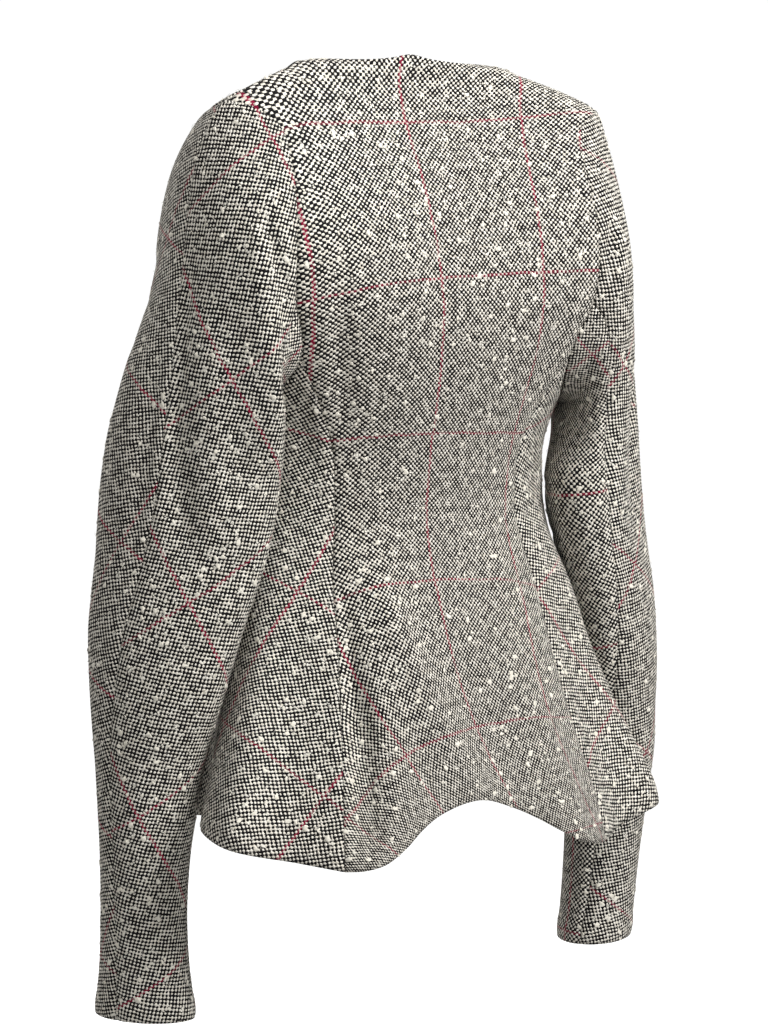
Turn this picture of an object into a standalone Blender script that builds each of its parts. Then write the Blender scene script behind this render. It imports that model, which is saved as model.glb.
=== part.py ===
import math

import bpy
import numpy as np

# Driving sizes, metres
WALL = 0.0024
SEAM_INSET = 0.00016
NECK_BACK_RISE = 0.006
NECK_FRONT_DROP = 0.085
NECK_HALF_WIDTH = 0.084
WAIST_Z = -0.345
FRONT_EDGE_BREAK_Z = -0.185
STRAIGHT_EDGE_ROWS = 3
SEAM_FOOT_ANGLE = {"back": 36.6, "front": 140.0}

# Grid counts
BACK_HALF_COLUMNS = 8
SIDE_COLUMNS = 5
FRONT_COLUMNS = 8
SEAM_ROWS = 15
ARMHOLE_ROWS = 9
SHOULDER_CELLS = 4

# Level sections of the body, mm. Bend carries the sides of a section back from its centre.
BODY_COLUMNS = ("z", "half_width", "centre_y", "back", "front", "bend", "power")
BODY_SECTIONS = (
    (12, 79, 36, 15, 40, 0, 2.0),
    (0, 84, 34, 19, 48, 4, 2.0),
    (-9, 110, 32, 22, 54, 16, 2.0),
    (-21, 140, 30, 27, 60, 30, 2.0),
    (-34, 166, 28, 36, 66, 37, 2.2),
    (-57, 180, 26, 50, 78, 40, 3.0),
    (-95, 183, 22, 76, 94, 33, 3.5),
    (-140, 180, 18, 96, 112, 24, 3.6),
    (-185, 173, 14, 107, 127, 13, 3.2),
    (-225, 162, 10, 106, 129, 3, 2.7),
    (-262, 151, 6, 102, 118, 0, 2.2),
    (-295, 143, 3, 96, 103, 0, 2.0),
    (-345, 145, 0, 92, 93, 0, 2.0),
    (-700, 145, 0, 92, 93, 0, 2.0),
)

# Radius of the hem and its height by angle from the centre back, mm and degrees
HEM_COLUMNS = ("angle", "radius", "z")
HEM_WAVE = (
    (0, 156, -563),
    (15, 164, -574),
    (29, 190, -601),
    (38, 192, -604),
    (48, 195, -598),
    (61, 229, -584),
    (68, 211, -580),
    (76, 176, -579),
    (90, 162, -583),
    (102, 178, -590),
    (115, 206, -598),
    (132, 176, -595),
    (149, 183, -601),
    (166, 150, -592),
    (180, 144, -588),
)

# Share of the flare reached below the waist
FLARE_COLUMNS = ("drop", "plain", "wave")
FLARE = (
    (0, 0.0, 0.0),
    (27, 0.11, 0.12),
    (55, 0.26, 0.25),
    (78, 0.38, 0.32),
    (108, 0.51, 0.39),
    (147, 0.65, 0.56),
    (172, 0.74, 0.69),
    (197, 0.84, 0.83),
    (223, 0.94, 0.97),
    (260, 1.04, 1.05),
)
HEM_HALF_WIDTH = 160.0
HEM_HALF_DEPTH = 165.0
HEM_POWER = 2.4

# Back and front princess seams, angle by height
SEAM_COLUMNS = ("z", "back_angle", "front_angle")
PRINCESS_SEAMS = (
    (-204, 57.0, 124.0),
    (-227, 55.0, 125.0),
    (-262, 50.5, 128.0),
    (-300, 47.5, 131.0),
    (-345, 46.5, 132.0),
    (-405, 44.0, 133.0),
    (-430, 42.0, 134.0),
    (-490, 39.3, 137.0),
    (-550, 37.5, 139.0),
    (-605, 36.6, 140.0),
)

# The armhole on the body, round from the shoulder point by way of the back
ARMHOLE_COLUMNS = ("turn", "angle", "z")
ARMHOLE = (
    (0, 90.0, -34),
    (14, 81.5, -39),
    (30, 72.0, -57),
    (50, 62.5, -95),
    (73, 57.5, -140),
    (97, 55.8, -185),
    (126, 55.0, -227),
    (144, 63.0, -250),
    (162, 75.5, -261),
    (180, 90.0, -264),
    (198, 104.0, -257),
    (217, 116.0, -237),
    (240, 124.0, -204),
    (270, 126.5, -155),
    (298, 121.0, -106),
    (325, 111.0, -66),
    (345, 101.0, -41),
    (360, 90.0, -34),
)
BACK_JUNCTION_TURN = 126
FRONT_JUNCTION_TURN = 240

# Rings of the left sleeve, mm and degrees. Tilt turns the ring from upright at the armhole to level.
SLEEVE_COLUMNS = ("x", "y", "z", "tilt", "long_half", "short_half", "long_turn", "own")
SLEEVE_RINGS = (
    (155, 45, -152, 84.0, 112, 74, 0, 0.00),
    (163, 46, -158, 84.0, 107, 73, -3, 0.35),
    (169, 46, -172, 80.5, 97, 69, -8, 0.70),
    (174, 46, -192, 76.0, 83, 62, -15, 0.92),
    (178, 46, -216, 69.5, 69, 53, -23, 1.00),
    (183, 45, -241, 60.0, 62, 46, -30, 1.00),
    (187, 43, -268, 45.0, 61, 39.5, -36, 1.00),
    (189, 40, -298, 25.0, 62, 37, -41, 1.00),
    (190, 37, -335, 9.0, 65, 37.5, -45, 1.00),
    (195, 36, -382, 2.0, 64, 36, -45, 1.00),
    (204, 35, -430, -2.0, 60, 34.5, -45, 1.00),
    (210, 31, -487, -2.0, 51, 34, -45, 1.00),
    (212, 25, -530, 0.0, 43, 34.5, -45, 1.00),
    (213, 20, -573, 2.0, 37.5, 35.5, -45, 1.00),
    (213, 13, -629, 2.0, 33, 32, -45, 1.00),
    (211, 8, -690, 2.0, 34, 30, -45, 1.00),
    (209, 5, -733, 2.0, 39, 30, -45, 1.00),
)

# How far the right sleeve hangs nearer the body and higher than the left, mm by ring
RIGHT_HANG_COLUMNS = ("ring", "inward", "lift")
RIGHT_HANG = (
    (0, 0, 0),
    (1, 1, 0),
    (3, 5, 0),
    (5, 8, 0),
    (7, 9, 0),
    (8, 7, 0),
    (9, 4, 2),
    (10, 2, 4),
    (12, 0, 8),
    (16, 0, 14),
)

# How far the left sleeve stands out behind the underarm, mm by ring, with the turn where it is
# fullest and the way that it goes, degrees
LEFT_FULLNESS_COLUMNS = ("ring", "out")
LEFT_FULLNESS = (
    (0, 0),
    (1, 4),
    (2, 12),
    (3, 21),
    (4, 29),
    (5, 30),
    (6, 25),
    (7, 16),
    (8, 9),
    (9, 5),
    (10, 2),
    (11, 0),
    (16, 0),
)
FULLNESS_TURN = 148.0
FULLNESS_HEADING = 130.0

# Rings built, by ring number: whole ones round the sleeve head, closer together down the arm
SLEEVE_STEPS = (*range(7), *np.arange(7, 13.1, 0.5).tolist(), 13.6, 14.3, 15, 16)

# Seams of the sleeve: turn round the ring by ring number
SLEEVE_SEAM_COLUMNS = ("ring", "left_back", "right_back", "over", "front")
SLEEVE_SEAMS = (
    (0, 98, 98, 0, 240),
    (1, 114, 108, 1, 239),
    (2, 128, 121, 3, 238),
    (3, 137, 129, 6, 236),
    (4, 142, 130, 11, 234),
    (5, 145, 126, 20, 232),
    (6, 147, 120, 29, 230),
    (7, 148, 115, 33, 229),
    (8, 148, 112, 31, 228),
    (9, 148, 114, 20, 227),
    (10, 147, 118, 10, 226),
    (11, 146, 122, 6, 226),
    (12, 146, 126, 8, 226),
    (13, 146, 130, 15, 226),
    (14, 146, 134, 19, 226),
    (16, 146, 144, 20, 226),
)
BACK_CELLS = 7
FRONT_CELLS = 9

CLOTH_COLOURS = {
    "body": (0.42, 0.405, 0.37),
    "sleeve": (0.40, 0.385, 0.355),
}


def column(rows, names, name):
    return np.array([row[names.index(name)] for row in rows], float)


def smooth_table(places, knots, values):
    """Values between the knots, on a smooth curve through all of them."""
    order = np.argsort(knots)
    knots = np.asarray(knots, float)[order]
    values = np.asarray(values, float)[order]
    steps = np.diff(knots)
    slopes = np.diff(values) / steps
    tangents = np.zeros(len(knots))
    tangents[1:-1] = (slopes[:-1] * steps[1:] + slopes[1:] * steps[:-1]) / (steps[:-1] + steps[1:])
    tangents[0] = slopes[0]
    tangents[-1] = slopes[-1]
    places = np.clip(np.asarray(places, float), knots[0], knots[-1])
    low = np.clip(np.searchsorted(knots, places, side="right") - 1, 0, len(knots) - 2)
    width = steps[low]
    part = (places - knots[low]) / width
    rise = 3 * part**2 - 2 * part**3
    start = values[low] * (1 - rise) + tangents[low] * width * part * (1 - part) ** 2
    end = values[low + 1] * rise + tangents[low + 1] * width * part**2 * (part - 1)
    return start + end


def mirrored_angle_table(angles, name):
    knots = column(HEM_WAVE, HEM_COLUMNS, "angle")
    values = column(HEM_WAVE, HEM_COLUMNS, name)
    knots = np.concatenate([-knots[:0:-1], knots, 360 - knots[-2::-1]])
    values = np.concatenate([values[:0:-1], values, values[-2::-1]])
    return smooth_table(np.mod(np.asarray(angles, float) + 180, 360) - 180, knots, values)


def section(z_mm):
    knots = column(BODY_SECTIONS, BODY_COLUMNS, "z")
    columns = [column(BODY_SECTIONS, BODY_COLUMNS, name) for name in BODY_COLUMNS[1:]]
    return [smooth_table(z_mm, knots, values) for values in columns]


def oval_radius(angles, half_width, depth, power):
    across = np.abs(np.sin(np.radians(angles))) / half_width
    along = np.abs(np.cos(np.radians(angles))) / depth
    return (across**power + along**power) ** (-1 / power)


def body_point(angles, heights):
    """The middle of the cloth at an angle from the centre back (degrees) and a height (metres)."""
    angles = np.asarray(angles, float)
    z_mm = np.asarray(heights, float) * 1000
    half_width, centre_y, back, front, bend, power = section(z_mm)
    to_front = np.clip((np.abs(angles) - 84) / 12, 0, 1)
    to_front = to_front * to_front * (3 - 2 * to_front)
    depth = back + (front - back) * to_front
    radius = oval_radius(angles, half_width, depth, power)
    drop = np.clip(WAIST_Z * 1000 - z_mm, 0, None)
    plain = smooth_table(drop, column(FLARE, FLARE_COLUMNS, "drop"), column(FLARE, FLARE_COLUMNS, "plain"))
    wave = smooth_table(drop, column(FLARE, FLARE_COLUMNS, "drop"), column(FLARE, FLARE_COLUMNS, "wave"))
    hem_oval = oval_radius(angles, HEM_HALF_WIDTH, HEM_HALF_DEPTH, HEM_POWER)
    hem_radius = mirrored_angle_table(angles, "radius")
    radius = radius + (hem_oval - radius) * plain + (hem_radius - hem_oval) * wave
    x = radius * np.sin(np.radians(angles))
    y = centre_y + radius * np.cos(np.radians(angles)) + bend * (x / half_width) ** 2
    return np.stack([x, y, z_mm], axis=-1) / 1000


def body_normal(angles, heights):
    angles = np.asarray(angles, float)
    heights = np.asarray(heights, float)
    across = body_point(angles + 0.4, heights) - body_point(angles - 0.4, heights)
    upward = body_point(angles, heights + 0.002) - body_point(angles, heights - 0.002)
    normal = np.cross(upward, across)
    return normal / np.linalg.norm(normal, axis=-1, keepdims=True)


def hem_height(angles):
    return mirrored_angle_table(angles, "z") / 1000


def seam_angle(heights, name):
    knots = column(PRINCESS_SEAMS, SEAM_COLUMNS, "z")
    return smooth_table(np.asarray(heights) * 1000, knots, column(PRINCESS_SEAMS, SEAM_COLUMNS, name))


def angle_at(x, height):
    """The front angle at which the level section reaches a half-width of x."""
    low = 90.0
    high = 180.0
    for _ in range(50):
        middle = (low + high) / 2
        if body_point(middle, height)[0] > x:
            low = middle
        else:
            high = middle
    return (low + high) / 2


def armhole_place(turns):
    knots = column(ARMHOLE, ARMHOLE_COLUMNS, "turn")
    return (
        smooth_table(turns, knots, column(ARMHOLE, ARMHOLE_COLUMNS, "angle")),
        smooth_table(turns, knots, column(ARMHOLE, ARMHOLE_COLUMNS, "z")) / 1000,
    )


def seam_turn(ring, name):
    knots = column(SLEEVE_SEAMS, SLEEVE_SEAM_COLUMNS, "ring")
    return smooth_table(ring, knots, column(SLEEVE_SEAMS, SLEEVE_SEAM_COLUMNS, name))


def armhole_turns():
    """Turns of the vertices round the armhole, from the top by way of the back."""
    back = np.linspace(0, BACK_JUNCTION_TURN, ARMHOLE_ROWS + 1)
    side_back = np.linspace(BACK_JUNCTION_TURN, 180, SIDE_COLUMNS + 1)
    side_front = np.linspace(180, FRONT_JUNCTION_TURN, SIDE_COLUMNS + 1)
    front = np.linspace(FRONT_JUNCTION_TURN, 360, ARMHOLE_ROWS + 1)
    return back, side_back, side_front, front


def sleeve_turns(ring, side):
    """Turns of a ring's vertices: from the back seam over the top to the front seam, then the underside."""
    back = float(seam_turn(ring, side + "_back"))
    over = float(seam_turn(ring, "over"))
    front = float(seam_turn(ring, "front")) - 360
    holes = armhole_turns()
    first = [
        holes[0][BACK_CELLS::-1],
        holes[3][::-1] - 360,
        np.concatenate([holes[2][::-1], holes[1][-2::-1], holes[0][-2 : BACK_CELLS - 1 : -1]]) - 360,
    ]
    even = min(ring / 4, 1)
    turns = []
    for start, stop, edge in ((back, over, first[0]), (over, front, first[1]), (front, back - 360, first[2])):
        share = (edge - edge[0]) / (edge[-1] - edge[0])
        share = share + (np.linspace(0, 1, len(edge)) - share) * even
        turns.append(start + (stop - start) * share)
    return np.concatenate([turns[0], turns[1][1:], turns[2][1:]])


def ring_values(ring):
    rings = np.arange(len(SLEEVE_RINGS))
    columns = [column(SLEEVE_RINGS, SLEEVE_COLUMNS, name) for name in SLEEVE_COLUMNS]
    return [float(smooth_table(ring, rings, values)) for values in columns]


def ring_frame(tilt):
    tilt = math.radians(tilt)
    return np.array([[math.cos(tilt), 0, math.sin(tilt)], [0, 1, 0], [math.sin(tilt), 0, -math.cos(tilt)]])


def sleeve_ring(ring, turns):
    """Points of the left sleeve on one ring."""
    x, y, z, tilt, long_half, short_half, long_turn, own = ring_values(ring)
    first = ring_values(0)
    angles, heights = armhole_place(np.mod(turns, 360))
    edge = (body_point(angles, heights) * 1000 - np.array(first[:3])) @ ring_frame(first[3]).T
    around = np.radians(turns)
    apart = around - math.radians(long_turn)
    stretch = np.hypot(short_half * np.cos(apart), long_half * np.sin(apart))
    radius = long_half * short_half / stretch
    oval = np.stack([radius * np.cos(around), radius * np.sin(around), np.zeros(len(turns))], axis=-1)
    local = edge + (oval - edge) * own
    return (np.array([x, y, z]) + local @ ring_frame(tilt)) / 1000


def sleeve_grid(side):
    turns = np.array([sleeve_turns(ring, side) for ring in SLEEVE_STEPS])
    points = np.array([sleeve_ring(ring, around) for ring, around in zip(SLEEVE_STEPS, turns)])
    if side == "left":
        rings = column(LEFT_FULLNESS, LEFT_FULLNESS_COLUMNS, "ring")
        out = smooth_table(SLEEVE_STEPS, rings, column(LEFT_FULLNESS, LEFT_FULLNESS_COLUMNS, "out"))
        share = np.clip(np.cos(np.radians(turns - FULLNESS_TURN)), 0, None) ** 2
        heading = math.radians(FULLNESS_HEADING)
        points[:, :, 0] += out[:, None] * share * math.cos(heading) / 1000
        points[:, :, 1] += out[:, None] * share * math.sin(heading) / 1000
    if side == "right":
        rings = column(RIGHT_HANG, RIGHT_HANG_COLUMNS, "ring")
        inward = smooth_table(SLEEVE_STEPS, rings, column(RIGHT_HANG, RIGHT_HANG_COLUMNS, "inward"))
        lift = smooth_table(SLEEVE_STEPS, rings, column(RIGHT_HANG, RIGHT_HANG_COLUMNS, "lift"))
        points[:, :, 0] -= inward[:, None] / 1000
        points[:, :, 2] += lift[:, None] / 1000
    return points


def grid_normals(points, closed):
    if closed:
        ring = points[:, :-1]
        across = np.roll(ring, -1, axis=1) - np.roll(ring, 1, axis=1)
        across = np.concatenate([across, across[:, :1]], axis=1)
    else:
        across = np.gradient(points, axis=1)
    along = np.gradient(points, axis=0)
    normal = np.cross(along, across)
    return normal / np.linalg.norm(normal, axis=-1, keepdims=True)


def inset_edges(points, sides):
    """Draws the named sides of a grid in by half a seam gap."""
    points = points.copy()
    pairs = {
        "first_row": (0, 1, 0),
        "last_row": (-1, -2, 0),
        "first_column": (0, 1, 1),
        "last_column": (-1, -2, 1),
    }
    moves = np.zeros_like(points)
    for side in sides:
        edge, inner, axis = pairs[side]
        if axis == 0:
            step = points[inner] - points[edge]
            moves[edge] += SEAM_INSET * step / np.linalg.norm(step, axis=-1, keepdims=True)
        else:
            step = points[:, inner] - points[:, edge]
            moves[:, edge] += SEAM_INSET * step / np.linalg.norm(step, axis=-1, keepdims=True)
    return points + moves


def make_material(name, colour):
    material = bpy.data.materials.new(name)
    material.use_nodes = True
    shader = material.node_tree.nodes["Principled BSDF"]
    shader.inputs["Base Color"].default_value = (*colour, 1)
    shader.inputs["Roughness"].default_value = 0.92
    shader.inputs["Metallic"].default_value = 0.0
    return material


def add_cloth(name, points, normals, material):
    """A closed wall of cloth on a four-sided grid; normals point to the outside."""
    rows, columns = points.shape[:2]
    outer = points + normals * WALL / 2
    inner = points - normals * WALL / 2
    vertices = np.concatenate([outer.reshape(-1, 3), inner.reshape(-1, 3)])
    shift = rows * columns
    faces = []
    for row in range(rows - 1):
        for col in range(columns - 1):
            a = row * columns + col
            b = a + 1
            c = a + columns + 1
            d = a + columns
            faces.append((a, b, c))
            faces.append((a, c, d))
            faces.append((a + shift, c + shift, b + shift))
            faces.append((a + shift, d + shift, c + shift))
    border = [col for col in range(columns)]
    border += [row * columns + columns - 1 for row in range(1, rows)]
    border += [(rows - 1) * columns + col for col in range(columns - 2, -1, -1)]
    border += [row * columns for row in range(rows - 2, 0, -1)]
    for here, there in zip(border, border[1:] + border[:1]):
        if vertices[here][2] < vertices[there][2]:
            faces.append((there, here, there + shift))
            faces.append((here, here + shift, there + shift))
        else:
            faces.append((there, here, here + shift))
            faces.append((there, here + shift, there + shift))
    corners = vertices[np.array(faces)]
    volume = np.einsum("ij,ij->i", corners[:, 0], np.cross(corners[:, 1], corners[:, 2])).sum()
    if volume < 0:
        faces = [face[::-1] for face in faces]
    mesh = bpy.data.meshes.new(name)
    mesh.from_pydata(vertices.tolist(), [], faces)
    mesh.update()
    mesh.materials.append(material)
    thing = bpy.data.objects.new(name, mesh)
    bpy.context.scene.collection.objects.link(thing)
    return thing


def mirrored(grid):
    return grid * np.array([-1.0, 1.0, 1.0])


def on_side(grid, side):
    return grid if side == "left" else mirrored(grid)


def place_points(angles, heights):
    return body_point(angles, heights), body_normal(angles, heights)


def edge_normals(turns):
    """Normals shared by the body and the sleeve where they meet."""
    angles, heights = armhole_place(np.mod(turns, 360))
    body = body_normal(angles, heights)
    near = sleeve_ring(0.0, turns)
    out = sleeve_ring(0.35, turns)
    side = sleeve_ring(0.0, turns - 2) - sleeve_ring(0.0, turns + 2)
    sleeve = np.cross(out - near, side)
    sleeve /= np.linalg.norm(sleeve, axis=-1, keepdims=True)
    centre = np.array(ring_values(0)[:3]) / 1000
    sleeve *= np.sign(np.einsum("ij,ij->i", sleeve, near - centre))[:, None]
    both = body + sleeve
    return both / np.linalg.norm(both, axis=-1, keepdims=True)


def back_grid():
    """The back, hem to neck, from the left princess seam and armhole to the right."""
    junction = armhole_place(BACK_JUNCTION_TURN)
    seam_z = np.linspace(float(hem_height(SEAM_FOOT_ANGLE["back"])), float(junction[1]), SEAM_ROWS + 1)
    turns = armhole_turns()[0][-2::-1]
    hole_angle, hole_z = armhole_place(turns)
    edge_angle = np.concatenate([seam_angle(seam_z, "back_angle"), hole_angle])
    edge_z = np.concatenate([seam_z, hole_z])
    spine_low = np.linspace(float(hem_height(0)), float(junction[1]), SEAM_ROWS + 1)
    rise = (hole_z - junction[1]) / (hole_z[-1] - junction[1])
    spine_z = np.concatenate([spine_low, junction[1] + rise * (NECK_BACK_RISE - junction[1])])
    top_share = np.concatenate([np.zeros(SEAM_ROWS + 1), rise**5])
    share = np.linspace(0, 1, BACK_HALF_COLUMNS + 1)
    neck_end = 1 - SHOULDER_CELLS / BACK_HALF_COLUMNS
    top_angle = 90 * np.clip(share / neck_end, 0, 1)
    shoulder = np.clip((share - neck_end) / (1 - neck_end), 0, 1)
    top_z = NECK_BACK_RISE * np.cos(np.radians(top_angle)) ** 2 + shoulder * hole_z[-1]
    angles = np.zeros((len(edge_z), len(share)))
    heights = np.zeros_like(angles)
    for row in range(len(edge_z)):
        plain_angle = edge_angle[row] * share
        plain_z = spine_z[row] + (edge_z[row] - spine_z[row]) * share
        if row <= SEAM_ROWS:
            low = row / SEAM_ROWS
            hem_curve = hem_height(plain_angle) - (spine_z[0] + (edge_z[0] - spine_z[0]) * share)
            plain_z = plain_z + hem_curve * (1 - low) ** 2
        angles[row] = plain_angle + top_share[row] * (top_angle - 90 * share)
        straight = NECK_BACK_RISE + (hole_z[-1] - NECK_BACK_RISE) * share
        heights[row] = plain_z + top_share[row] * (top_z - straight)
    points, normals = place_points(angles, heights)
    normals[SEAM_ROWS:, -1] = edge_normals(np.concatenate([[BACK_JUNCTION_TURN], turns]))
    points[-1, -SHOULDER_CELLS - 1 :], normals[-1, -SHOULDER_CELLS - 1 :] = shoulder_seam()
    points = np.concatenate([mirrored(points[:, :0:-1]), points], axis=1)
    normals = np.concatenate([mirrored(normals[:, :0:-1]), normals], axis=1)
    return points, normals


def shoulder_seam():
    """Points and normals along the shoulder seam, neck first, shared by back and front."""
    heights = np.linspace(0, float(armhole_place(0)[1]), SHOULDER_CELLS + 1)
    behind = body_normal(np.full(len(heights), 84.0), heights)
    ahead = body_normal(np.full(len(heights), 96.0), heights)
    both = behind + ahead
    both /= np.linalg.norm(both, axis=-1, keepdims=True)
    both[-1] = edge_normals(np.array([0.0]))[0]
    return body_point(np.full(len(heights), 90.0), heights), both


def side_grid(name):
    """A side panel, hem to armhole; its first column is the princess seam, its last the side seam."""
    back = name == "back"
    turn = BACK_JUNCTION_TURN if back else FRONT_JUNCTION_TURN
    junction = armhole_place(turn)
    seam_z = np.linspace(float(hem_height(SEAM_FOOT_ANGLE[name])), float(junction[1]), SEAM_ROWS + 1)
    side_z = np.linspace(float(hem_height(90)), float(armhole_place(180)[1]), SEAM_ROWS + 1)
    seam_a = seam_angle(seam_z, "back_angle" if back else "front_angle")
    turns = armhole_turns()[1] if back else armhole_turns()[2][::-1]
    top_angle, top_z = armhole_place(turns)
    share = np.linspace(0, 1, SIDE_COLUMNS + 1)
    angles = np.zeros((SEAM_ROWS + 1, SIDE_COLUMNS + 1))
    heights = np.zeros_like(angles)
    for row in range(SEAM_ROWS + 1):
        low = row / SEAM_ROWS
        plain_angle = seam_a[row] + (90 - seam_a[row]) * share
        plain_z = seam_z[row] + (side_z[row] - seam_z[row]) * share
        hem_curve = hem_height(plain_angle) - (seam_z[0] + (side_z[0] - seam_z[0]) * share)
        top_curve = top_z - (seam_z[-1] + (side_z[-1] - seam_z[-1]) * share)
        swing = top_angle - (seam_a[-1] + (90 - seam_a[-1]) * share)
        angles[row] = plain_angle + swing * low**4
        heights[row] = plain_z + hem_curve * (1 - low) ** 2 + top_curve * low**4
    points, normals = place_points(angles, heights)
    normals[-1] = edge_normals(turns)
    return points, normals


def front_grid():
    """The left front, hem to shoulder; the front edge and neckline come first, the seam and armhole last."""
    junction = armhole_place(FRONT_JUNCTION_TURN)
    seam_z = np.linspace(float(hem_height(SEAM_FOOT_ANGLE["front"])), float(junction[1]), SEAM_ROWS + 1)
    turns = armhole_turns()[3][1:]
    hole_angle, hole_z = armhole_place(turns)
    edge_angle = np.concatenate([seam_angle(seam_z, "front_angle"), hole_angle])
    edge_z = np.concatenate([seam_z, hole_z])
    low_z = np.linspace(float(hem_height(180)), FRONT_EDGE_BREAK_Z, SEAM_ROWS + 1)
    rise_z = np.linspace(FRONT_EDGE_BREAK_Z, -NECK_FRONT_DROP, STRAIGHT_EDGE_ROWS + 1)[1:]
    sweep = np.radians(np.linspace(0, 90, ARMHOLE_ROWS - STRAIGHT_EDGE_ROWS + 1)[1:])
    neck_x = NECK_HALF_WIDTH * np.sin(sweep)
    neck_z = -NECK_FRONT_DROP * np.cos(sweep)
    neck_angle = [angle_at(x, z) for x, z in zip(neck_x[:-1], neck_z[:-1])] + [90.0]
    inner_angle = np.concatenate([np.full(SEAM_ROWS + 1 + STRAIGHT_EDGE_ROWS, 180.0), neck_angle])
    inner_z = np.concatenate([low_z, rise_z, neck_z])
    share = np.linspace(0, 1, FRONT_COLUMNS + 1)
    angles = inner_angle[:, None] + (edge_angle - inner_angle)[:, None] * share
    heights = inner_z[:, None] + (edge_z - inner_z)[:, None] * share
    for row in range(SEAM_ROWS + 1):
        low = row / SEAM_ROWS
        straight = inner_z[0] + (edge_z[0] - inner_z[0]) * share
        heights[row] += (hem_height(angles[0]) - straight) * (1 - low) ** 2
    points, normals = place_points(angles, heights)
    points[:, 0, 0] = np.where(inner_angle > 179.9, 0.0, points[:, 0, 0])
    normals[SEAM_ROWS:, -1] = edge_normals(np.concatenate([[FRONT_JUNCTION_TURN], turns]))
    seam_points, seam_normals = shoulder_seam()
    places = np.linspace(0, SHOULDER_CELLS, FRONT_COLUMNS + 1)
    rows = np.arange(SHOULDER_CELLS + 1)
    for axis in range(3):
        points[-1, :, axis] = np.interp(places, rows, seam_points[:, axis])
        normals[-1, :, axis] = np.interp(places, rows, seam_normals[:, axis])
    return points, normals


def build_body():
    points, normals = back_grid()
    points = inset_edges(points, ("first_column", "last_column"))
    top = points[-1].copy()
    drop = points[-2] - points[-1]
    drop = SEAM_INSET * drop / np.linalg.norm(drop, axis=-1, keepdims=True)
    for col in range(points.shape[1]):
        if abs(col - BACK_HALF_COLUMNS) >= BACK_HALF_COLUMNS - SHOULDER_CELLS:
            top[col] += drop[col]
    points[-1] = top
    material = make_material("back_cloth", CLOTH_COLOURS["body"])
    add_cloth("back", points, normals, material)
    for name in ("back", "front"):
        points, normals = side_grid(name)
        points = inset_edges(points, ("first_column", "last_column", "last_row"))
        for side in ("left", "right"):
            material = make_material("side_" + name + "_" + side + "_cloth", CLOTH_COLOURS["body"])
            add_cloth("side_" + name + "_" + side, on_side(points, side), on_side(normals, side), material)
    points, normals = front_grid()
    points = inset_edges(points, ("first_column", "last_column", "last_row"))
    for side in ("left", "right"):
        material = make_material("front_" + side + "_cloth", CLOTH_COLOURS["body"])
        add_cloth("front_" + side, on_side(points, side), on_side(normals, side), material)


def build_sleeve(side):
    points = sleeve_grid(side)
    normals = grid_normals(points, closed=True)
    centre = points[:, :-1].mean(axis=1, keepdims=True)
    normals *= np.sign(np.einsum("ijk,ijk->ij", normals, points - centre).sum())
    normals[0] = edge_normals(sleeve_turns(0, side))
    points = on_side(points, side)
    normals = on_side(normals, side)
    over = BACK_CELLS
    front = BACK_CELLS + FRONT_CELLS
    pieces = (
        ("sleeve_back", 0, over + 1),
        ("sleeve_front", over, front + 1),
        ("sleeve_under", front, points.shape[1]),
    )
    for name, start, stop in pieces:
        name = name + "_" + side
        grid = inset_edges(points[:, start:stop], ("first_row", "first_column", "last_column"))
        add_cloth(name, grid, normals[:, start:stop], make_material(name + "_cloth", CLOTH_COLOURS["sleeve"]))


for thing in list(bpy.data.objects):
    bpy.data.objects.remove(thing, do_unlink=True)
build_body()
build_sleeve("left")
build_sleeve("right")
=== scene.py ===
import itertools
import math

import bpy
import numpy as np
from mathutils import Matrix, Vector


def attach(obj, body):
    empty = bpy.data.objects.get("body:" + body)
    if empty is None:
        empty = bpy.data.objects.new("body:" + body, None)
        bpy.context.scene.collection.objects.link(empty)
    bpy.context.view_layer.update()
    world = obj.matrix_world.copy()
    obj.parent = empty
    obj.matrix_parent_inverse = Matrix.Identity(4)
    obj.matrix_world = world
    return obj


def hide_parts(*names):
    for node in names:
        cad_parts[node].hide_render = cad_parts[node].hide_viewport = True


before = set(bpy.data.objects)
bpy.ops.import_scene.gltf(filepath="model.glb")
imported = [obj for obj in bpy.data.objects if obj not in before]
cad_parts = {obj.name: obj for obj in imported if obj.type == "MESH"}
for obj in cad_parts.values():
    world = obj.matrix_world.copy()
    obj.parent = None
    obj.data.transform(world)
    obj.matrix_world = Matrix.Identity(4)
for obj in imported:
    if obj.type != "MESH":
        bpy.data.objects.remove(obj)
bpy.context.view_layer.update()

# the cloth shell, metres
cloth = {
    "wall": 0.0024,  # thickness of the CAD wall that it replaces
    "thickness": 0.0019,
    "seamDip": 0.0011,
    "seamDipWidth": 0.0028,
    "foldEase": 0.010,  # creases fade out this near a seam
    "hemSwell": 0.0007,
    "hemSwellPlace": 0.010,
    "hemSwellWidth": 0.012,
    "edgeRounding": 0.003,
    "edgeShare": 0.55,  # share of the thickness left at a free edge
    "step": 0.0041,  # size of the finished faces
}

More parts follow.
